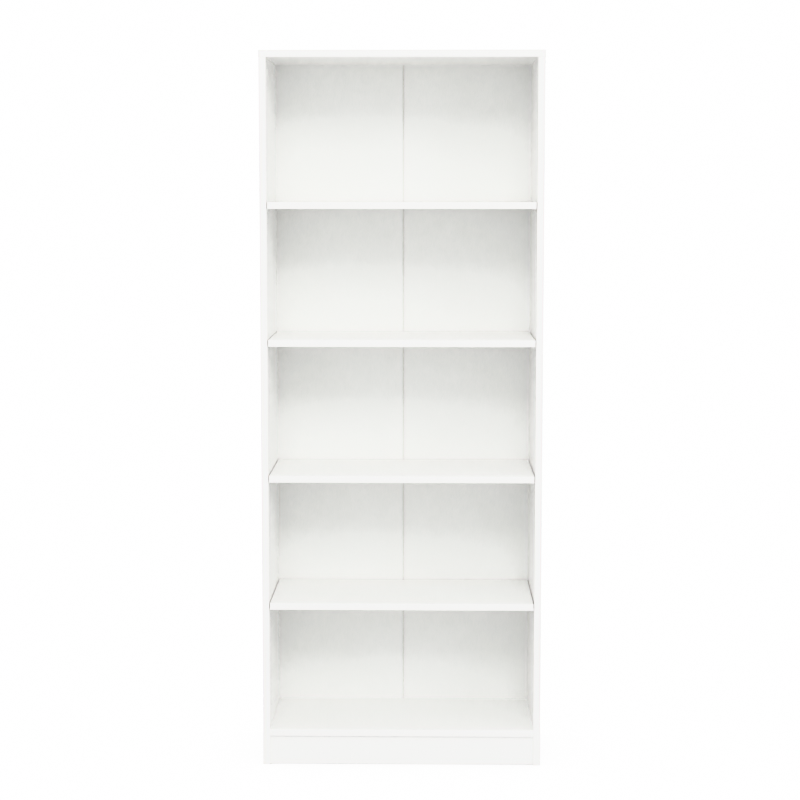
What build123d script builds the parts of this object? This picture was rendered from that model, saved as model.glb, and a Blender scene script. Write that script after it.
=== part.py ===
from build123d import *
import os

# A tall knock-down bookcase. The origin is on the floor, under the middle of the case.
# X runs across the case, the open front faces -Y, and Z is up. Millimetres.

# Case
case_width = 708.0
case_depth = 300.0
case_height = 1800.0
side_thickness = 19.0
top_thickness = 19.0
shelf_thickness = 17.0
top_overhang = 0.5            # the top board stands past each side panel by this much
bottom_board_top = 92.0
plinth_setback = 5.0
plinth_floor_gap = 1.0
edge_radius = 0.8             # rounding of the banded edges that are seen

# Loose shelves, counted from the top
shelf_tops = [1427.0, 1085.0, 743.0, 418.0]
shelf_end_gap = 1.75
shelf_front_setback = 2.0
shelf_rear_gap = 2.0

# Thin back, let into a rebate round the rear of the case
back_thickness = 3.0
rebate_width = 10.0
rebate_depth = 4.0
back_edge_gap = 0.5
fold_gap = 0.3
fold_groove_depth = 1.2
fold_groove_wide_side = 4.0
fold_groove_narrow_side = 1.2
tape_width = 50.0
tape_thickness = 0.2
tape_end_inset = 4.0

# Shelf pins and their holes
pin_radius = 2.5
pin_hole_radius = 2.55
pin_hole_depth = 11.0
pin_stem_length = 9.5
pin_head_width = 9.0
pin_plate_thickness = 2.0
pin_plate_drop = 6.0          # plate below the stem's axis
pin_plate_rounding = 3.0
pin_ledge_rise = 3.0          # ledge's flat top above the stem's axis
pin_ledge_length = 9.0
pin_ledge_thickness = 2.4
pin_gusset_thickness = 2.4
pin_tip_chamfer = 0.6
hole_pitch = 32.0
front_column_inset = 37.0     # from the front edge to the first column of holes
column_spacing = 224.0

# Knock-down fittings
cam_radius = 7.4
cam_bore_radius = 7.5
cam_bore_depth = 13.0
cam_height = 12.4
cam_recess = 0.3              # the cam's open end lies this far inside the board
cam_centre_inset = 34.0       # from the joint to the cam's centre
cam_slot_width = 2.0
cam_slot_length = 9.0
cam_slot_depth = 3.0
cam_mouth_radius = 3.6
cam_mouth_overrun = 4.0       # past the cam's centre
bolt_shank_radius = 3.3
bolt_hole_radius = 3.4
bolt_screw_radius = 2.5
bolt_screw_hole_radius = 2.55
bolt_screw_length = 10.5
bolt_screw_hole_depth = 11.0
bolt_neck_radius = 2.0
bolt_neck_length = 4.0
bolt_head_radius = 3.2
bolt_head_length = 3.0
bolt_cam_gap = 1.0            # between the bolt's shank and the cam
dowel_radius = 3.95
dowel_hole_radius = 4.0
dowel_length = 30.0
dowel_shallow_depth = 11.0    # the part of a dowel that sits in the crossing board
dowel_end_gap = 0.5
dowel_chamfer = 0.8
cap_radius = 8.5
cap_thickness = 0.9
cap_rounding = 0.5

# Where the fittings sit, along Y for the boards and along Z for the plinth
cam_places = [-96.0, 96.0]
dowel_places = [-64.0, 64.0]
plinth_cam_height = 38.0
plinth_dowel_heights = [16.0, 60.0]

# Nails of the back
nail_radius = 0.7
nail_hole_radius = 0.75
nail_length = 18.0
nail_head_radius = 1.6
nail_head_thickness = 0.7
nail_pitch = 150.0
nail_edge_inset = 5.0
nail_end_inset = 40.0
nail_rail_pitch = 120.0
nail_rail_start = 60.0
nail_rail_pairs = 3            # each side of the middle

# Worked-out places
half_outer = case_width / 2 - top_overhang
half_inner = half_outer - side_thickness
front = -case_depth / 2
rear = case_depth / 2
side_height = case_height - top_thickness
back_front = rear - rebate_depth
back_rear = back_front + back_thickness
back_half_width = half_inner + rebate_width - back_edge_gap
back_low = bottom_board_top - shelf_thickness + 2 * back_edge_gap
back_high = side_height + rebate_width - back_edge_gap
bottom_underside = bottom_board_top - shelf_thickness
shelf_half_width = half_inner - shelf_end_gap
shelf_front = front + shelf_front_setback
shelf_rear = back_front - shelf_rear_gap
plinth_front = front + plinth_setback
plinth_rear = plinth_front + shelf_thickness
column_places = [front + front_column_inset, front + front_column_inset + column_spacing]
pin_heights = [top - shelf_thickness - pin_ledge_rise for top in shelf_tops]
hole_heights = [height + step * hole_pitch for height in pin_heights for step in (-1, 0, 1)]
bottom_joint_height = bottom_underside + shelf_thickness / 2
plinth_joint_depth = plinth_front + shelf_thickness / 2
side_middle = half_inner + side_thickness / 2
dowel_deep_depth = dowel_length - dowel_shallow_depth
nail_shank_length = nail_length - nail_head_thickness
side_nail_count = 1 + int((back_high - back_low - 2 * nail_end_inset) // nail_pitch)
side_nail_heights = [back_low + nail_end_inset + i * nail_pitch for i in range(side_nail_count)]
rail_nail_places = [nail_rail_start + i * nail_rail_pitch for i in range(nail_rail_pairs)]
rail_nail_heights = [bottom_joint_height, side_height + nail_edge_inset]
nail_spots = [(s * (half_inner + nail_edge_inset), z) for s in (-1, 1) for z in side_nail_heights]
nail_spots += [(s * x, z) for s in (-1, 1) for x in rail_nail_places for z in rail_nail_heights]

os.makedirs("parts", exist_ok=True)


def save(piece, name):
    piece.label = name
    export_step(piece, f"parts/{name}.step")


def place_on(sign):
    """Plane on a side panel's inner face: its normal points into the case."""
    return Plane(origin=(sign * half_inner, 0, 0), x_dir=(0, -sign, 0), z_dir=(-sign, 0, 0))


def nail_plane(depth):
    """Upright plane at a depth, seen from behind, so that its normal points to the rear."""
    return Plane(origin=(0, depth, 0), x_dir=(-1, 0, 0), z_dir=(0, 1, 0))


# Side panels
for side_name, sign in (("left", -1), ("right", 1)):
    inner_face = place_on(sign)
    with BuildPart() as side_panel:
        with BuildSketch(Plane.XY):
            with BuildLine():
                Polyline(
                    (sign * half_inner, front),
                    (sign * half_outer, front),
                    (sign * half_outer, rear),
                    (sign * (half_inner + rebate_width), rear),
                    (sign * (half_inner + rebate_width), back_front),
                    (sign * half_inner, back_front),
                    close=True,
                )
            make_face()
        extrude(amount=side_height)
        fillet(side_panel.edges().filter_by(Axis.Z).group_by(Axis.Y)[0], edge_radius)
        # Three holes per shelf in each column, with the middle one in use
        with BuildSketch(inner_face):
            with Locations([(-sign * y, z) for y in column_places for z in hole_heights]):
                Circle(pin_hole_radius)
        extrude(amount=-pin_hole_depth, mode=Mode.SUBTRACT)
        # Bolt and dowel holes for the bottom board and the plinth
        with BuildSketch(inner_face):
            with Locations([(-sign * y, bottom_joint_height) for y in cam_places]):
                Circle(bolt_screw_hole_radius)
            with Locations((-sign * plinth_joint_depth, plinth_cam_height)):
                Circle(bolt_screw_hole_radius)
            with Locations([(-sign * y, bottom_joint_height) for y in dowel_places]):
                Circle(dowel_hole_radius)
            with Locations([(-sign * plinth_joint_depth, z) for z in plinth_dowel_heights]):
                Circle(dowel_hole_radius)
        extrude(amount=-bolt_screw_hole_depth, mode=Mode.SUBTRACT)
        # Cams and bolts of the top joint
        with BuildSketch(inner_face):
            with Locations([(-sign * y, side_height - cam_centre_inset) for y in cam_places]):
                Circle(cam_bore_radius)
        extrude(amount=-cam_bore_depth, mode=Mode.SUBTRACT)
        with BuildSketch(Plane.XY.offset(side_height)):
            with Locations([(sign * side_middle, y) for y in cam_places]):
                Circle(bolt_hole_radius)
        extrude(amount=-cam_centre_inset, mode=Mode.SUBTRACT)
        with BuildSketch(Plane.XY.offset(side_height)):
            with Locations([(sign * side_middle, y) for y in dowel_places]):
                Circle(dowel_hole_radius)
        extrude(amount=-dowel_deep_depth, mode=Mode.SUBTRACT)
        # Nail holes in the floor of the rebate
        with BuildSketch(nail_plane(back_front)):
            with Locations([(-x, z) for x, z in nail_spots if abs(x) > half_inner and x * sign > 0]):
                Circle(nail_hole_radius)
        extrude(amount=-nail_shank_length, mode=Mode.SUBTRACT)
    save(side_panel.part, f"side_panel_{side_name}")

# Top board, with a stopped rebate for the back
with BuildPart() as top_panel:
    with BuildSketch(Plane.XY.offset(side_height)):
        Rectangle(case_width, case_depth)
    extrude(amount=top_thickness)
    fillet(top_panel.edges().filter_by(Axis.X).group_by(Axis.Y)[0], edge_radius)
    fillet(top_panel.edges().filter_by(Axis.Y).group_by(Axis.Z)[-1], edge_radius)
    with BuildSketch(Plane.XY.offset(side_height)):
        with Locations((0, rear - rebate_depth / 2)):
            Rectangle(2 * (half_inner + rebate_width), rebate_depth)
    extrude(amount=rebate_width, mode=Mode.SUBTRACT)
    with BuildSketch(Plane.XY.offset(side_height)):
        with Locations([(s * side_middle, y) for s in (-1, 1) for y in cam_places]):
            Circle(bolt_screw_hole_radius)
        with Locations([(s * side_middle, y) for s in (-1, 1) for y in dowel_places]):
            Circle(dowel_hole_radius)
    extrude(amount=bolt_screw_hole_depth, mode=Mode.SUBTRACT)
    with BuildSketch(nail_plane(back_front)):
        with Locations([(-x, z) for x, z in nail_spots if abs(x) < half_inner and z > side_height]):
            Circle(nail_hole_radius)
    extrude(amount=-nail_shank_length, mode=Mode.SUBTRACT)
save(top_panel.part, "top_panel")

# Fixed bottom board, with its cams underneath
with BuildPart() as bottom_panel:
    with BuildSketch(Plane.XY.offset(bottom_underside)):
        with Locations((0, (front + back_front) / 2)):
            Rectangle(2 * half_inner, back_front - front)
    extrude(amount=shelf_thickness)
    fillet(bottom_panel.edges().filter_by(Axis.X).group_by(Axis.Y)[0], edge_radius)
    with BuildSketch(Plane.XY.offset(bottom_underside)):
        with Locations([(s * (half_inner - cam_centre_inset), y) for s in (-1, 1) for y in cam_places]):
            Circle(cam_bore_radius)
    extrude(amount=cam_bore_depth, mode=Mode.SUBTRACT)
    for sign in (-1, 1):
        with BuildSketch(place_on(sign)):
            with Locations([(-sign * y, bottom_joint_height) for y in cam_places]):
                Circle(bolt_hole_radius)
        extrude(amount=cam_centre_inset, mode=Mode.SUBTRACT)
        with BuildSketch(place_on(sign)):
            with Locations([(-sign * y, bottom_joint_height) for y in dowel_places]):
                Circle(dowel_hole_radius)
        extrude(amount=dowel_deep_depth, mode=Mode.SUBTRACT)
    with BuildSketch(nail_plane(back_front)):
        with Locations([(-x, z) for x, z in nail_spots if abs(x) < half_inner and z < side_height]):
            Circle(nail_hole_radius)
    extrude(amount=-nail_shank_length, mode=Mode.SUBTRACT)
save(bottom_panel.part, "bottom_panel")

# Plinth, with one cam behind each end
with BuildPart() as plinth:
    with BuildSketch(Plane.XY.offset(plinth_floor_gap)):
        with Locations((0, plinth_joint_depth)):
            Rectangle(2 * half_inner, shelf_thickness)
    extrude(amount=bottom_underside - plinth_floor_gap)
    fillet(plinth.edges().filter_by(Axis.X).group_by(Axis.Y)[0].group_by(Axis.Z)[0], edge_radius)
    with BuildSketch(nail_plane(plinth_rear)):
        with Locations([(s * (half_inner - cam_centre_inset), plinth_cam_height) for s in (-1, 1)]):
            Circle(cam_bore_radius)
    extrude(amount=-cam_bore_depth, mode=Mode.SUBTRACT)
    for sign in (-1, 1):
        with BuildSketch(place_on(sign)):
            with Locations((-sign * plinth_joint_depth, plinth_cam_height)):
                Circle(bolt_hole_radius)
        extrude(amount=cam_centre_inset, mode=Mode.SUBTRACT)
        with BuildSketch(place_on(sign)):
            with Locations([(-sign * plinth_joint_depth, z) for z in plinth_dowel_heights]):
                Circle(dowel_hole_radius)
        extrude(amount=dowel_deep_depth, mode=Mode.SUBTRACT)
save(plinth.part, "plinth")

# Two halves of the back. The groove between their front faces is the fold.
for side_name, sign, groove_width in (
    ("left", -1, fold_groove_wide_side),
    ("right", 1, fold_groove_narrow_side),
):
    fold_edge = sign * fold_gap / 2
    with BuildPart() as back_panel:
        with BuildSketch(Plane.XY.offset(back_low)):
            with BuildLine():
                Polyline(
                    (sign * back_half_width, back_front),
                    (fold_edge + sign * groove_width, back_front),
                    (fold_edge, back_front + fold_groove_depth),
                    (fold_edge, back_rear),
                    (sign * back_half_width, back_rear),
                    close=True,
                )
            make_face()
        extrude(amount=back_high - back_low)
        with BuildSketch(nail_plane(back_rear)):
            with Locations([(-x, z) for x, z in nail_spots if x * sign > 0]):
                Circle(nail_hole_radius)
        extrude(amount=-back_thickness, mode=Mode.SUBTRACT)
    save(back_panel.part, f"back_panel_{side_name}")

# Tape over the fold, on the rear
with BuildPart() as back_panel_tape:
    with BuildSketch(Plane.XY.offset(back_low + tape_end_inset)):
        with Locations((0, back_rear + tape_thickness / 2)):
            Rectangle(tape_width, tape_thickness)
    extrude(amount=back_high - back_low - 2 * tape_end_inset)
save(back_panel_tape.part, "back_panel_tape")

# Loose shelves
for number, shelf_top in enumerate(shelf_tops, start=1):
    with BuildPart() as shelf:
        with BuildSketch(Plane.XY.offset(shelf_top - shelf_thickness)):
            with Locations((0, (shelf_front + shelf_rear) / 2)):
                Rectangle(2 * shelf_half_width, shelf_rear - shelf_front)
        extrude(amount=shelf_thickness)
        fillet(shelf.edges().filter_by(Axis.X).group_by(Axis.Y)[0], edge_radius)
    save(shelf.part, f"shelf_{number}")

# Shelf pins: a stem in the hole, a plate on the panel, and a ledge braced by a gusset
for number, pin_height in enumerate(pin_heights, start=1):
    for side_name, sign in (("left", -1), ("right", 1)):
        for place_name, column in zip(("front", "rear"), column_places):
            face = sign * half_inner
            ledge_top = pin_height + pin_ledge_rise
            ledge_low = ledge_top - pin_ledge_thickness
            plate_low = pin_height - pin_plate_drop
            plate_face = face - sign * pin_plate_thickness
            ledge_tip = face - sign * pin_ledge_length
            pin_plane = Plane(origin=(0, column, 0), x_dir=(1, 0, 0), z_dir=(0, -1, 0))
            with BuildPart() as shelf_pin:
                with BuildSketch(pin_plane):
                    with BuildLine():
                        Polyline(
                            (face, plate_low),
                            (face, ledge_top),
                            (ledge_tip, ledge_top),
                            (ledge_tip, ledge_low),
                            (plate_face, ledge_low),
                            (plate_face, plate_low),
                            close=True,
                        )
                    make_face()
                extrude(amount=pin_head_width / 2, both=True)
                lower_corners = shelf_pin.edges().filter_by(Axis.X).group_by(Axis.Z)[0]
                fillet(lower_corners, pin_plate_rounding)
                with BuildSketch(pin_plane):
                    with BuildLine():
                        Polyline(
                            (plate_face, plate_low + pin_plate_thickness),
                            (plate_face, ledge_low),
                            (ledge_tip + sign * pin_plate_thickness, ledge_low),
                            close=True,
                        )
                    make_face()
                extrude(amount=pin_gusset_thickness / 2, both=True)
                with BuildSketch(place_on(sign)):
                    with Locations((-sign * column, pin_height)):
                        Circle(pin_radius)
                extrude(amount=-pin_stem_length)
                stem_tip = shelf_pin.edges().filter_by(GeomType.CIRCLE).sort_by(Axis.X)
                chamfer(stem_tip[-1 if sign > 0 else 0], pin_tip_chamfer)
            save(shelf_pin.part, f"shelf_pin_{number}_{side_name}_{place_name}")


# Joints of the case: where each bolt or dowel crosses, the way that it points into the
# board with the cam, the way that the cam's open end faces, and how deep the bolt lies
bolt_joints = [
    ((s * side_middle, y, side_height), (0, 0, -1), (-s, 0, 0), side_thickness / 2)
    for s in (-1, 1)
    for y in cam_places
]
bolt_joints += [
    ((s * half_inner, y, bottom_joint_height), (-s, 0, 0), (0, 0, -1), shelf_thickness / 2)
    for s in (-1, 1)
    for y in cam_places
]
bolt_joints += [
    ((s * half_inner, plinth_joint_depth, plinth_cam_height), (-s, 0, 0), (0, 1, 0), shelf_thickness / 2)
    for s in (-1, 1)
]
dowel_joints = [((s * side_middle, y, side_height), (0, 0, -1)) for s in (-1, 1) for y in dowel_places]
dowel_joints += [
    ((s * half_inner, y, bottom_joint_height), (-s, 0, 0)) for s in (-1, 1) for y in dowel_places
]
dowel_joints += [
    ((s * half_inner, plinth_joint_depth, z), (-s, 0, 0))
    for s in (-1, 1)
    for z in plinth_dowel_heights
]

# Connecting bolts, turned to one profile: screw, shank, neck and head
shank_length = cam_centre_inset - cam_radius - bolt_cam_gap
neck_end = shank_length + bolt_neck_length
head_end = neck_end + bolt_head_length
with BuildPart() as cam_bolts:
    for crossing, along, opening, _ in bolt_joints:
        across = Vector(opening).cross(Vector(along))
        with BuildSketch(Plane(origin=crossing, x_dir=opening, z_dir=across)):
            with BuildLine():
                Polyline(
                    (0, -bolt_screw_length),
                    (bolt_screw_radius, -bolt_screw_length),
                    (bolt_screw_radius, 0),
                    (bolt_shank_radius, 0),
                    (bolt_shank_radius, shank_length),
                    (bolt_neck_radius, shank_length),
                    (bolt_neck_radius, neck_end),
                    (bolt_head_radius, neck_end),
                    (bolt_head_radius, head_end),
                    (0, head_end),
                    close=True,
                )
            make_face()
        revolve(axis=Axis(crossing, along))
save(cam_bolts.part, "cam_bolts")

# Cam locks: a drum with a mouth for the bolt's head and a cross recess for the driver
with BuildPart() as cam_locks:
    for crossing, along, opening, bolt_depth in bolt_joints:
        centre = Vector(crossing) + Vector(along) * cam_centre_inset
        open_end = centre + Vector(opening) * (bolt_depth - cam_recess)
        drum_plane = Plane(origin=open_end, x_dir=along, z_dir=opening)
        mouth_plane = Plane(origin=centre + Vector(along) * cam_mouth_overrun, z_dir=along)
        with BuildSketch(drum_plane):
            Circle(cam_radius)
        extrude(amount=-cam_height)
        with BuildSketch(mouth_plane):
            Circle(cam_mouth_radius)
        extrude(amount=-cam_mouth_overrun - 2 * cam_radius, mode=Mode.SUBTRACT)
        with BuildSketch(drum_plane):
            Rectangle(cam_slot_length, cam_slot_width)
            Rectangle(cam_slot_width, cam_slot_length)
        extrude(amount=-cam_slot_depth, mode=Mode.SUBTRACT)
save(cam_locks.part, "cam_locks")

# Dowels
with BuildPart() as wooden_dowels:
    for crossing, along in dowel_joints:
        shallow_end = Vector(crossing) - Vector(along) * (dowel_shallow_depth - dowel_end_gap)
        with BuildSketch(Plane(origin=shallow_end, z_dir=along)):
            Circle(dowel_radius)
        extrude(amount=dowel_length - 2 * dowel_end_gap)
    chamfer(wooden_dowels.edges().filter_by(GeomType.CIRCLE), dowel_chamfer)
save(wooden_dowels.part, "wooden_dowels")

# Caps over the four cams that open into the top compartment
with BuildPart() as cam_cover_caps:
    for sign in (-1, 1):
        with BuildSketch(place_on(sign)):
            with Locations([(-sign * y, side_height - cam_centre_inset) for y in cam_places]):
                Circle(cap_radius)
        extrude(amount=cap_thickness)
    cap_rims = cam_cover_caps.edges().filter_by(GeomType.CIRCLE)
    fillet([rim for rim in cap_rims if abs(rim.center().X) < half_inner - cap_rounding], cap_rounding)
save(cam_cover_caps.part, "cam_cover_caps")

# Nails of the back
with BuildPart() as back_panel_nails:
    with BuildSketch(nail_plane(back_rear)):
        with Locations([(-x, z) for x, z in nail_spots]):
            Circle(nail_head_radius)
    extrude(amount=nail_head_thickness)
    with BuildSketch(nail_plane(back_rear)):
        with Locations([(-x, z) for x, z in nail_spots]):
            Circle(nail_radius)
    extrude(amount=-nail_shank_length)
save(back_panel_nails.part, "back_panel_nails")
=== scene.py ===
import bpy
import math
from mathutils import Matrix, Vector


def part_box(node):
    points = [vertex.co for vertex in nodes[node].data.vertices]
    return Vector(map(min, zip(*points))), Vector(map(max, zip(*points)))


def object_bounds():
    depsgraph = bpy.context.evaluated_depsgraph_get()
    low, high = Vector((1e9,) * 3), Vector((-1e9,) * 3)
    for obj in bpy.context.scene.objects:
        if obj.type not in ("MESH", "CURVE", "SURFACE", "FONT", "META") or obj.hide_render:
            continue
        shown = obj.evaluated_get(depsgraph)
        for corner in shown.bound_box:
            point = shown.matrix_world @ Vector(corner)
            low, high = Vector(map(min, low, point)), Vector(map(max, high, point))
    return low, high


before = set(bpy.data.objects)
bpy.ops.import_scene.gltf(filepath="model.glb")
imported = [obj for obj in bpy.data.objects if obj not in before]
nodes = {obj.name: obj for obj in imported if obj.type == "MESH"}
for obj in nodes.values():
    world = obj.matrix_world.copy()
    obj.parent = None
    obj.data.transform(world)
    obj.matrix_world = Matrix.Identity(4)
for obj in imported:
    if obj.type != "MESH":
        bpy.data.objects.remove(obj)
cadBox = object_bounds()

shelfNames = sorted(name for name in nodes if name.startswith("shelf_") and "pin" not in name)
pinNames = sorted(name for name in nodes if name.startswith("shelf_pin_"))


# small helpers for node trees
def addNode(tree, kind, place=(0, 0), **settings):
    node = tree.nodes.new(kind)
    node.location = place
    for key, value in settings.items():
        setattr(node, key, value)
    return node


def feed(tree, socket, value):
    # a socket gets either a link or a plain value
    if isinstance(value, bpy.types.NodeSocket):
        tree.links.new(value, socket)
    elif value is not None:
        socket.default_value = value


def maths(tree, operation, a, b=None, clamp=False):
    node = addNode(tree, "ShaderNodeMath", operation=operation, use_clamp=clamp)
    for socket, value in zip(node.inputs, (a, b)):
        feed(tree, socket, value)
    return node.outputs[0]


def remap(tree, value, low, high, toLow=0.0, toHigh=1.0):
    node = addNode(tree, "ShaderNodeMapRange", interpolation_type="SMOOTHSTEP")
    for socket, part in zip(node.inputs, (value, low, high, toLow, toHigh)):
        feed(tree, socket, part)
    return node.outputs[0]


def mixColor(tree, factor, a, b):
    node = addNode(tree, "ShaderNodeMix", data_type="RGBA")
    for number, value in ((0, factor), (6, a), (7, b)):
        feed(tree, node.inputs[number], value)
    return node.outputs[2]


def mixValue(tree, factor, a, b):
    node = addNode(tree, "ShaderNodeMix", data_type="FLOAT")
    for number, value in ((0, factor), (2, a), (3, b)):
        feed(tree, node.inputs[number], value)
    return node.outputs[0]


def noise(tree, vector, scale, detail=2.0, roughness=0.5):
    node = addNode(tree, "ShaderNodeTexNoise")
    for name, value in (("Vector", vector), ("Scale", scale), ("Detail", detail), ("Roughness", roughness)):
        feed(tree, node.inputs[name], value)
    return node.outputs["Fac"]


def stretched(tree, vector, factors):
    node = addNode(tree, "ShaderNodeMapping")
    feed(tree, node.inputs["Vector"], vector)
    feed(tree, node.inputs["Scale"], factors)
    return node.outputs[0]


def split(tree, vector):
    node = addNode(tree, "ShaderNodeSeparateXYZ")
    feed(tree, node.inputs[0], vector)
    return node.outputs


def objectPlace(tree):
    return addNode(tree, "ShaderNodeTexCoord").outputs["Object"]


def startGroup(name, inputs, outputs):
    group = bpy.data.node_groups.new(name, "ShaderNodeTree")
    for label, kind, value in inputs:
        socket = group.interface.new_socket(name=label, in_out="INPUT", socket_type="NodeSocket" + kind)
        socket.default_value = value
    for label, kind in outputs:
        group.interface.new_socket(name=label, in_out="OUTPUT", socket_type="NodeSocket" + kind)
    source = addNode(group, "NodeGroupInput", (-900, 0))
    sink = addNode(group, "NodeGroupOutput", (900, 0))
    return group, source.outputs, sink.inputs


def useGroup(tree, group, values):
    node = addNode(tree, "ShaderNodeGroup", node_tree=group)
    for key, value in values.items():
        feed(tree, node.inputs[key], value)
    return node.outputs


def rgb(red, green, blue):
    return (red, green, blue, 1.0)


plainWhite = rgb(1, 1, 1)
midTones = (0.35, 0.65)         # the part of a noise that carries most of its contrast
wideTones = (0.3, 0.7)


# effects that more than one finish uses
def makeBoardShape():
    # where on a board a point lies: skin covers the faces that are marked, the rest is bare core
    group, given, made = startGroup(
        "boardShape",
        [
            ("Low", "Vector", (0, 0, 0)), ("High", "Vector", (1, 1, 1)),
            ("Low Faces", "Vector", (1, 1, 1)), ("High Faces", "Vector", (1, 1, 1)),
            ("Skin", "Float", 0.0003), ("Band", "Float", 0.0009), ("Band Joint", "Float", 0.00012),
            ("Edge Width", "Float", 0.0015),
        ],
        [("Covered", "Float"), ("Joint", "Float"), ("Edge", "Float"), ("On Band", "Float")],
    )
    place = split(group, objectPlace(group))
    low, high, lowFaces, highFaces = (
        split(group, given[name]) for name in ("Low", "High", "Low Faces", "High Faces")
    )
    covered, depths = None, []
    for axis in range(3):
        fromLow = maths(group, "SUBTRACT", place[axis], low[axis])
        fromHigh = maths(group, "SUBTRACT", high[axis], place[axis])
        depths.append(maths(group, "MINIMUM", fromLow, fromHigh))
        thickness = given["Band"] if axis == 1 else given["Skin"]
        for distance, faces in ((fromLow, lowFaces), (fromHigh, highFaces)):
            near = maths(group, "LESS_THAN", distance, thickness)
            near = maths(group, "MULTIPLY", near, faces[axis])
            covered = near if covered is None else maths(group, "MAXIMUM", covered, near)
        if axis == 1:
            fromFront = fromLow
    feed(group, made["Covered"], covered)
    # thin glue line where the front band meets the faces
    offJoint = maths(group, "ABSOLUTE", maths(group, "SUBTRACT", fromFront, given["Band"]))
    joint = maths(group, "MULTIPLY", maths(group, "LESS_THAN", offJoint, given["Band Joint"]), covered)
    feed(group, made["Joint"], joint)
    feed(group, made["On Band"], maths(group, "LESS_THAN", fromFront, given["Band"]))
    # an edge is near two faces at once, so the middle one of the three depths is small
    lower = maths(group, "MINIMUM", depths[0], depths[1])
    upper = maths(group, "MAXIMUM", depths[0], depths[1])
    middle = maths(group, "MAXIMUM", lower, maths(group, "MINIMUM", upper, depths[2]))
    feed(group, made["Edge"], remap(group, middle, 0.0, given["Edge Width"], 1.0, 0.0))
    return group


chipLook = {
    "tones": (                  # place on the ramp, colour of the wood
        (0.0, rgb(0.27, 0.16, 0.075)), (0.25, rgb(0.50, 0.35, 0.20)),
        (0.7, rgb(0.62, 0.46, 0.28)), (1.0, rgb(0.72, 0.56, 0.37)),
    ),
    "chipStretch": (1.0, 0.6, 0.6),
    "chipStep": 0.6,
    "grimeScale": 2600.0,
    "grimeTones": (0.35, 0.75),
    "grime": (0.82, 1.08),
}


def makeChipCore():
    # pressed wood particles, as a sawn chipboard edge shows them
    look = chipLook
    group, given, made = startGroup(
        "chipCore", [("Chip Size", "Float", 0.0016)], [("Color", "Color"), ("Height", "Float")]
    )
    place = objectPlace(group)
    chips = addNode(group, "ShaderNodeTexVoronoi", feature="F1")
    feed(group, chips.inputs["Vector"], stretched(group, place, look["chipStretch"]))
    feed(group, chips.inputs["Scale"], maths(group, "DIVIDE", 1.0, given["Chip Size"]))
    wood = addNode(group, "ShaderNodeValToRGB")
    ramp = wood.color_ramp.elements
    darkest, *between, lightest = look["tones"]
    ramp[0].color, ramp[1].color = darkest[1], lightest[1]
    for position, tone in between:
        ramp.new(position).color = tone
    spread = addNode(group, "ShaderNodeSeparateColor")
    feed(group, spread.inputs[0], chips.outputs["Color"])
    feed(group, wood.inputs[0], spread.outputs[0])
    fine = noise(group, place, look["grimeScale"], 3.0, 0.6)
    tinted = addNode(group, "ShaderNodeVectorMath", operation="SCALE")
    feed(group, tinted.inputs[0], wood.outputs[0])
    feed(group, tinted.inputs["Scale"], remap(group, fine, *look["grimeTones"], *look["grime"]))
    feed(group, made["Color"], tinted.outputs[0])
    steps = maths(group, "MULTIPLY", spread.outputs[1], look["chipStep"])
    feed(group, made["Height"], maths(group, "ADD", steps, fine))
    return group


wipeLook = {"scale": 14.0, "stretch": (0.4, 3.0, 3.0)}


def makeFoilGrain():
    # fine orange peel of a pressed foil, and slow changes of tone over a large board
    group, given, made = startGroup(
        "foilGrain",
        [("Peel Size", "Float", 0.0012), ("Cloud Size", "Float", 0.35)],
        [("Height", "Float"), ("Tone", "Float"), ("Gloss", "Float")],
    )
    place = objectPlace(group)
    peelScale = maths(group, "DIVIDE", 1.0, given["Peel Size"])
    feed(group, made["Height"], noise(group, place, peelScale))
    cloudScale = maths(group, "DIVIDE", 1.0, given["Cloud Size"])
    feed(group, made["Tone"], noise(group, place, cloudScale, 1.0))
    wiped = noise(group, stretched(group, place, wipeLook["stretch"]), wipeLook["scale"], 3.0, 0.6)
    feed(group, made["Gloss"], wiped)
    return group


scuffLook = {
    "streakScale": 6.0,
    "streakStretch": (6.0, 60.0, 22.0),
    "streakTones": (0.62, 0.74),
    "patchScale": 9.0,
    "patchTones": (0.5, 0.66),
    "dustScale": 1500.0,
    "dustTones": (0.45, 0.8),
}


def makeScuffs():
    # short faint rubs and a breath of dust, thickest low down
    look = scuffLook
    group, given, made = startGroup(
        "scuffs",
        [("Amount", "Float", 0.5), ("Floor Reach", "Float", 0.12)],
        [("Rub", "Float"), ("Dust", "Float")],
    )
    place = objectPlace(group)
    streaks = noise(group, stretched(group, place, look["streakStretch"]), look["streakScale"], 4.0, 0.65)
    patches = noise(group, place, look["patchScale"])
    rub = maths(
        group, "MULTIPLY",
        remap(group, streaks, *look["streakTones"]), remap(group, patches, *look["patchTones"]),
    )
    feed(group, made["Rub"], maths(group, "MULTIPLY", rub, given["Amount"], clamp=True))
    lowDown = remap(group, split(group, place)[2], 0.0, given["Floor Reach"], 1.0, 0.0)
    speckle = remap(group, noise(group, place, look["dustScale"], 2.0, 0.7), *look["dustTones"])
    dust = maths(group, "MULTIPLY", maths(group, "MULTIPLY", lowDown, speckle), given["Amount"])
    feed(group, made["Dust"], dust)
    return group


boardShape = makeBoardShape()
chipCore = makeChipCore()
foilGrain = makeFoilGrain()
scuffs = makeScuffs()
print("shared effects built")


# finishes
def newFinish(name):
    material = bpy.data.materials.new(name)
    material.use_nodes = True
    tree = material.node_tree
    shader = tree.nodes["Principled BSDF"]
    return material, tree, shader


def bump(tree, shader, height, strength, distance):
    node = addNode(tree, "ShaderNodeBump")
    node.inputs["Strength"].default_value = strength
    node.inputs["Distance"].default_value = distance
    feed(tree, node.inputs["Height"], height)
    feed(tree, shader.inputs["Normal"], node.outputs[0])


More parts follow.
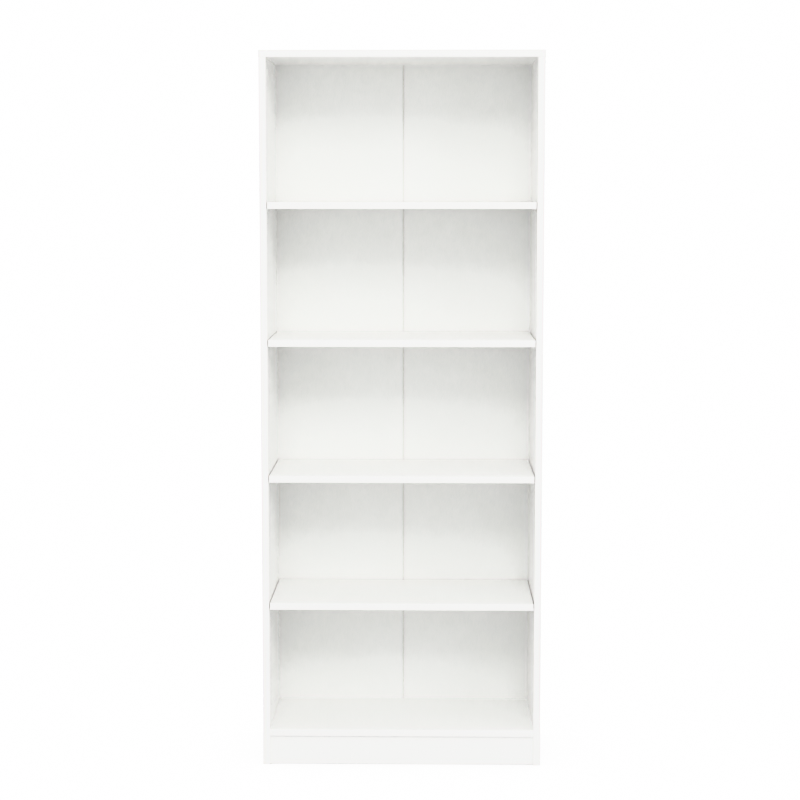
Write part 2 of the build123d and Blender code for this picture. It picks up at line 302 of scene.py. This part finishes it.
boardLook = {
    "white": rgb(0.925, 0.925, 0.912),
    "shadeWhite": rgb(0.915, 0.915, 0.900),     # the duller end of the slow tone changes
    "bandWhite": rgb(0.930, 0.930, 0.920),
    "jointGrey": rgb(0.56, 0.55, 0.52),
    "jointShade": 0.45,
    "wornWhite": rgb(0.80, 0.79, 0.76),
    "edgeWear": 0.16,
    "wearTones": (0.4, 0.7),
    "skin": 0.00035,
    "band": 0.0010,
    "roughness": (0.38, 0.50),
    "coreRoughness": 0.88,
    "coreRelief": 6.0,
    "scuffAmount": 0.35,
    "rubDulling": 0.12,
    "dustShade": 0.25,
    "bump": (0.45, 0.00004),                    # strength, depth in metres
}


def boardFinish(node, lowFaces, highFaces):
    look = boardLook
    low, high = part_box(node)
    material, tree, shader = newFinish("whiteFoil_" + node)
    shape = useGroup(tree, boardShape, {
        "Low": low[:], "High": high[:], "Low Faces": lowFaces, "High Faces": highFaces,
        "Skin": look["skin"], "Band": look["band"],
    })
    core = useGroup(tree, chipCore, {})
    grain = useGroup(tree, foilGrain, {})
    marks = useGroup(tree, scuffs, {"Amount": look["scuffAmount"]})
    skin = mixColor(tree, remap(tree, grain["Tone"], *midTones), look["shadeWhite"], look["white"])
    skin = mixColor(tree, shape["On Band"], skin, look["bandWhite"])
    worn = maths(tree, "MULTIPLY", shape["Edge"], look["edgeWear"])
    worn = maths(tree, "MULTIPLY", worn, remap(tree, grain["Gloss"], *look["wearTones"]))
    skin = mixColor(tree, worn, skin, look["wornWhite"])
    dusty = maths(tree, "MULTIPLY", marks["Dust"], look["dustShade"])
    skin = mixColor(tree, dusty, skin, look["wornWhite"])
    glued = maths(tree, "MULTIPLY", shape["Joint"], look["jointShade"])
    skin = mixColor(tree, glued, skin, look["jointGrey"])
    feed(tree, shader.inputs["Base Color"], mixColor(tree, shape["Covered"], core["Color"], skin))
    satin = remap(tree, grain["Gloss"], *wideTones, *look["roughness"])
    satin = maths(tree, "ADD", satin, maths(tree, "MULTIPLY", marks["Rub"], look["rubDulling"]))
    rough = mixValue(tree, shape["Covered"], look["coreRoughness"], satin)
    feed(tree, shader.inputs["Roughness"], rough)
    pits = maths(tree, "MULTIPLY", core["Height"], look["coreRelief"])
    peel = maths(tree, "SUBTRACT", grain["Height"], shape["Joint"])
    bump(tree, shader, mixValue(tree, shape["Covered"], pits, peel), *look["bump"])
    return material


backLook = {
    "white": rgb(0.915, 0.915, 0.902),
    "shadeWhite": rgb(0.900, 0.900, 0.885),
    "frontLimit": -0.3,                         # a face with a normal below this looks into the room
    "peelSize": 0.0022,
    "cloudSize": 0.25,
    # painted shade: grey put into the lacquer in a narrow strip along the fold crease
    "foldShadowGrey": rgb(0.60, 0.60, 0.59),
    "foldReach": (0.0008, 0.0055),
    "foldShade": 0.3,
    "darkFibreAndHollowShade": rgb(0.17, 0.098, 0.050),
    "fibreLight": rgb(0.34, 0.215, 0.118),
    "fibreTones": (0.2, 0.8),
    "fibreScale": 900.0,
    "shredScale": 420.0,
    "shredStretch": (1.0, 1.0, 0.7),
    "blotchScale": 11.0,
    "blotch": 0.12,                             # how far the brown drifts over a panel
    "screenPitch": 0.0016,                      # woven imprint of the press on the rough side, in relief, with painted shade in its hollows
    "screenTones": (-0.2, 0.9),
    "screenShade": 0.45,
    "screenRelief": 1.5,
    "roughness": (0.34, 0.46),
    "fibreRoughness": (0.72, 0.92),
    "bump": (0.4, 0.00003),
}


def backFinish(node, foldSide):
    # white lacquer towards the room, bare pressed fibre on every other face
    look = backLook
    material, tree, shader = newFinish("hardboard_" + node)
    place = objectPlace(tree)
    along = split(tree, place)
    normal = split(tree, addNode(tree, "ShaderNodeTexCoord").outputs["Normal"])
    facing = maths(tree, "LESS_THAN", normal[1], look["frontLimit"])
    grain = useGroup(tree, foilGrain, {"Peel Size": look["peelSize"], "Cloud Size": look["cloudSize"]})
    lacquer = mixColor(tree, remap(tree, grain["Tone"], *midTones), look["shadeWhite"], look["white"])
    # painted shade along the fold: the lacquer turns grey within a few millimetres of the crease
    fromFold = maths(tree, "MULTIPLY", along[0], foldSide)
    near = remap(tree, fromFold, *look["foldReach"], 1.0, 0.0)
    near = maths(tree, "MULTIPLY", near, look["foldShade"])
    lacquer = mixColor(tree, near, lacquer, look["foldShadowGrey"])
    fibres = noise(tree, place, look["fibreScale"], 4.0, 0.7)
    shreds = noise(tree, stretched(tree, place, look["shredStretch"]), look["shredScale"], 4.0, 0.75)
    felted = maths(tree, "MULTIPLY", maths(tree, "ADD", fibres, shreds), 0.5)
    blotches = noise(tree, place, look["blotchScale"], 3.0, 0.6)
    drift = maths(tree, "MULTIPLY", maths(tree, "SUBTRACT", blotches, 0.5), look["blotch"])
    brown = remap(tree, maths(tree, "ADD", felted, drift), *look["fibreTones"])
    fibre = mixColor(tree, brown, look["darkFibreAndHollowShade"], look["fibreLight"])
    turn = 2.0 * math.pi / look["screenPitch"]
    warp, weft = (
        maths(tree, "SINE", maths(tree, "MULTIPLY", along[axis], turn)) for axis in (0, 2)
    )
    screen = maths(tree, "MAXIMUM", warp, weft)
    # painted shade: the hollows of the woven screen are darkened in colour towards the dark fibre tone
    screenHollowShade = remap(tree, screen, *look["screenTones"], look["screenShade"], 0.0)
    fibre = mixColor(tree, screenHollowShade, fibre, look["darkFibreAndHollowShade"])
    feed(tree, shader.inputs["Base Color"], mixColor(tree, facing, fibre, lacquer))
    dry = remap(tree, fibres, *wideTones, *look["fibreRoughness"])
    satin = remap(tree, grain["Gloss"], *wideTones, *look["roughness"])
    feed(tree, shader.inputs["Roughness"], mixValue(tree, facing, dry, satin))
    woven = maths(tree, "ADD", maths(tree, "MULTIPLY", screen, look["screenRelief"]), fibres)
    bump(tree, shader, mixValue(tree, facing, woven, grain["Height"]), *look["bump"])
    return material


plasticLook = {
    "pin": (rgb(0.86, 0.86, 0.84), 0.30, 0.12),     # colour, roughness, light inside
    "cap": (rgb(0.87, 0.87, 0.855), 0.46, 0.05),
    "flowScale": 220.0,
    "flowShade": 0.97,
    "roughnessSpread": (-0.04, 0.06),
    "scatterRadius": (0.9, 0.9, 0.8),
    "scatterScale": 0.001,
    "grainSize": 0.0004,
    "bump": (0.25, 0.00001),
}


def plasticFinish(name, kind):
    look = plasticLook
    color, roughness, depth = look[kind]
    glossier, duller = (roughness + change for change in look["roughnessSpread"])
    material, tree, shader = newFinish(name)
    place = objectPlace(tree)
    flow = noise(tree, place, look["flowScale"])
    shaded = rgb(*(part * look["flowShade"] for part in color[:3]))
    tint = mixColor(tree, remap(tree, flow, *wideTones), shaded, color)
    feed(tree, shader.inputs["Base Color"], tint)
    feed(tree, shader.inputs["Roughness"], remap(tree, flow, *wideTones, glossier, duller))
    shader.inputs["Subsurface Weight"].default_value = depth
    shader.inputs["Subsurface Radius"].default_value = look["scatterRadius"]
    shader.inputs["Subsurface Scale"].default_value = look["scatterScale"]
    bump(tree, shader, noise(tree, place, 1.0 / look["grainSize"], 2.0, 0.6), *look["bump"])
    return material


metalLook = {
    "zincPlate": (rgb(0.70, 0.72, 0.75), rgb(0.58, 0.60, 0.64), 0.26),      # bright, dull, roughness
    "castZinc": (rgb(0.60, 0.61, 0.63), rgb(0.47, 0.48, 0.50), 0.46),
    "bloomScale": 160.0,
    "lineScale": 900.0,
    "sheenTones": (0.7, 1.3),
    "roughnessSpread": (-0.05, 0.12),
    "bump": (0.3, 0.00001),
}


def metalFinish(name, kind, lineStretch):
    look = metalLook
    bright, dull, roughness = look[kind]
    glossier, duller = (roughness + change for change in look["roughnessSpread"])
    material, tree, shader = newFinish(name)
    place = objectPlace(tree)
    bloom = noise(tree, place, look["bloomScale"], 3.0, 0.6)
    lines = noise(tree, stretched(tree, place, lineStretch), look["lineScale"], 3.0, 0.6)
    feed(tree, shader.inputs["Base Color"], mixColor(tree, remap(tree, bloom, *midTones), dull, bright))
    shader.inputs["Metallic"].default_value = 1.0
    rough = remap(tree, maths(tree, "ADD", bloom, lines), *look["sheenTones"], glossier, duller)
    feed(tree, shader.inputs["Roughness"], rough)
    bump(tree, shader, lines, *look["bump"])
    return material


dowelLook = {
    "light": rgb(0.68, 0.50, 0.31),
    "dark": rgb(0.50, 0.33, 0.17),
    "roughness": 0.62,
    "grainScale": 700.0,
    "grainStretch": (0.3, 1.0, 1.0),
    "bump": (0.5, 0.00005),
}


def dowelFinish():
    look = dowelLook
    material, tree, shader = newFinish("beechDowel")
    place = stretched(tree, objectPlace(tree), look["grainStretch"])
    grain = noise(tree, place, look["grainScale"], 4.0, 0.65)
    color = mixColor(tree, remap(tree, grain, *midTones), look["dark"], look["light"])
    feed(tree, shader.inputs["Base Color"], color)
    shader.inputs["Roughness"].default_value = look["roughness"]
    bump(tree, shader, grain, *look["bump"])
    return material


tapeLook = {
    "paper": rgb(0.74, 0.70, 0.60),
    "fibre": rgb(0.62, 0.57, 0.46),
    "fibreScale": 1400.0,
    "fibreStretch": (1.0, 1.0, 0.25),
    "fibreRelief": 0.3,
    "creaseSize": 0.004,
    "creaseStretch": (0.5, 1.0, 1.6),
    "roughness": (0.7, 0.9),
    "bump": (0.4, 0.00012),
}


def tapeFinish():
    look = tapeLook
    material, tree, shader = newFinish("paperTape")
    place = objectPlace(tree)
    fibres = noise(tree, stretched(tree, place, look["fibreStretch"]), look["fibreScale"], 4.0, 0.7)
    creases = noise(tree, stretched(tree, place, look["creaseStretch"]), 1.0 / look["creaseSize"])
    color = mixColor(tree, remap(tree, fibres, *wideTones), look["fibre"], look["paper"])
    feed(tree, shader.inputs["Base Color"], color)
    feed(tree, shader.inputs["Roughness"], remap(tree, fibres, *wideTones, *look["roughness"]))
    relief = maths(tree, "ADD", creases, maths(tree, "MULTIPLY", fibres, look["fibreRelief"]))
    bump(tree, shader, relief, *look["bump"])
    return material


def coat(name, material):
    slots = nodes[name].data.materials
    slots.clear()
    slots.append(material)


# faces that carry foil or a band, as (left, front, under) and (right, rear, top)
boardFaces = {
    "side_panel_left": ((1, 1, 0), (1, 0, 0)),
    "side_panel_right": ((1, 1, 0), (1, 0, 0)),
    "top_panel": ((1, 1, 1), (1, 0, 1)),
    "bottom_panel": ((0, 1, 1), (0, 0, 1)),
    "plinth": ((0, 1, 0), (0, 1, 0)),
}
for name in shelfNames:
    boardFaces[name] = ((0, 1, 1), (0, 0, 1))
for name, (lowFaces, highFaces) in boardFaces.items():
    coat(name, boardFinish(name, lowFaces, highFaces))
coat("back_panel_left", backFinish("back_panel_left", -1.0))
coat("back_panel_right", backFinish("back_panel_right", 1.0))
coat("back_panel_tape", tapeFinish())
pinPlastic = plasticFinish("pinPlastic", "pin")
for name in pinNames:
    coat(name, pinPlastic)
coat("cam_cover_caps", plasticFinish("capPlastic", "cap"))
coat("cam_bolts", metalFinish("zincPlatedBolt", "zincPlate", (4.0, 4.0, 0.4)))
coat("back_panel_nails", metalFinish("brightNail", "zincPlate", (1.0, 4.0, 1.0)))
coat("cam_locks", metalFinish("castZincCam", "castZinc", (1.0, 1.0, 1.0)))
coat("wooden_dowels", dowelFinish())
print("finishes on", len(nodes), "nodes")


# softened edges of the loose pieces
edgeLook = {"shelf": 0.0004, "pin": 0.0002, "weld": 0.000002, "segments": 2, "angle": 40.0}


def softenEdges(name, width):
    piece = nodes[name]
    weld = piece.modifiers.new("joinFaces", "WELD")
    weld.merge_threshold = edgeLook["weld"]
    bevel = piece.modifiers.new("softEdges", "BEVEL")
    bevel.width = width
    bevel.segments = edgeLook["segments"]
    bevel.limit_method = "ANGLE"
    bevel.angle_limit = math.radians(edgeLook["angle"])
    bevel.harden_normals = True


for name in shelfNames:
    softenEdges(name, edgeLook["shelf"])
for name in pinNames:
    softenEdges(name, edgeLook["pin"])
print("edges softened")


# studio: floor, light and camera
low, high = cadBox
middle = (low + high) / 2
foot = Vector((middle.x, middle.y, low.z))

studio = {
    "white": 28.0,              # how bright the backdrop and the open floor look to the camera
    "ambient": 1.11,            # even light from all round
    "floorSize": 60.0,
    "floorColor": rgb(0.40, 0.40, 0.40),
    "floorRoughness": 0.9,
    "floorGlow": 0.21,
    "contactReach": 0.30,       # how far the soft shade at the foot of the case spreads
    "contactDepth": 3.0,
    "contactSamples": 16,
    "lampDistance": 9.0,
    "aimHeight": 0.9,
}


def whenSeen(tree, unseen, seen):
    # one strength for what the camera looks at, another for the light that falls on the case
    path = addNode(tree, "ShaderNodeLightPath")
    return mixValue(tree, path.outputs["Is Camera Ray"], unseen, seen)


def makeFloor():
    half = studio["floorSize"] / 2
    mesh = bpy.data.meshes.new("floor")
    corners = [(-half, -half, 0), (half, -half, 0), (half, half, 0), (-half, half, 0)]
    mesh.from_pydata(corners, [], [(0, 1, 2, 3)])
    floor = bpy.data.objects.new("floor", mesh)
    bpy.context.scene.collection.objects.link(floor)
    material, tree, shader = newFinish("studioFloor")
    shader.inputs["Base Color"].default_value = studio["floorColor"]
    shader.inputs["Roughness"].default_value = studio["floorRoughness"]
    shader.inputs["Specular IOR Level"].default_value = 0.0
    shader.inputs["Emission Color"].default_value = plainWhite
    # the camera sees a burnt-out white floor that only darkens close to the case
    shade = addNode(tree, "ShaderNodeAmbientOcclusion", samples=studio["contactSamples"])
    shade.inputs["Distance"].default_value = studio["contactReach"]
    openness = maths(tree, "POWER", shade.outputs["AO"], studio["contactDepth"])
    seen = maths(tree, "MULTIPLY", openness, studio["white"])
    feed(tree, shader.inputs["Emission Strength"], whenSeen(tree, studio["floorGlow"], seen))
    mesh.materials.append(material)
    floor.location.z = low.z


def makeWorld():
    world = bpy.data.worlds.new("studio")
    bpy.context.scene.world = world
    world.use_nodes = True
    tree = world.node_tree
    tree.nodes.clear()
    light = addNode(tree, "ShaderNodeBackground")
    feed(tree, light.inputs["Color"], plainWhite)
    feed(tree, light.inputs["Strength"], whenSeen(tree, studio["ambient"], studio["white"]))
    feed(tree, addNode(tree, "ShaderNodeOutputWorld").inputs[0], light.outputs[0])


# degrees to the right of the front, degrees up, width, height, power
lamps = {
    "frontHigh": (0.0, 39.0, 4.0, 3.6, 330.0),
    "frontRight": (50.0, 24.0, 4.0, 1.9, 112.0),
    "frontLevel": (0.0, 2.0, 4.0, 1.9, 25.0),
}


def makeLamp(name, around, up, width, height, power):
    light = bpy.data.lights.new(name, "AREA")
    light.shape = "RECTANGLE"
    light.size = width
    light.size_y = height
    light.energy = power
    lamp = bpy.data.objects.new(name, light)
    turn, lift = math.radians(around), math.radians(up)
    aim = foot + Vector((0, 0, studio["aimHeight"]))
    away = Vector((math.cos(lift) * math.sin(turn), -math.cos(lift) * math.cos(turn), math.sin(lift)))
    lamp.location = aim + away * studio["lampDistance"]
    lamp.rotation_euler = away.to_track_quat("Z", "Y").to_euler()
    lamp.visible_camera = False
    bpy.context.scene.collection.objects.link(lamp)


shot = {
    "fromFoot": (0.0679, -4.7067, 1.4461),      # metres from the middle of the case on the floor
    "pitch": 5.891,
    "turn": 0.908,
    "roll": -0.015,
    "lens": 82.72,
    "sensor": 36.0,
    "rise": -0.02,
    "clip": (0.05, 200.0),
}


def makeCamera():
    data = bpy.data.cameras.new("shot")
    data.lens = shot["lens"]
    data.sensor_width = shot["sensor"]
    data.shift_y = shot["rise"]
    data.clip_start, data.clip_end = shot["clip"]
    camera = bpy.data.objects.new("shot", data)
    camera.location = foot + Vector(shot["fromFoot"])
    camera.rotation_euler = (
        math.radians(90.0 - shot["pitch"]), math.radians(shot["roll"]), math.radians(shot["turn"])
    )
    bpy.context.scene.collection.objects.link(camera)
    bpy.context.scene.camera = camera


makeFloor()
makeWorld()
for name, values in lamps.items():
    makeLamp(name, *values)
makeCamera()
bpy.context.scene.view_settings.view_transform = "Khronos PBR Neutral"
print("studio ready")
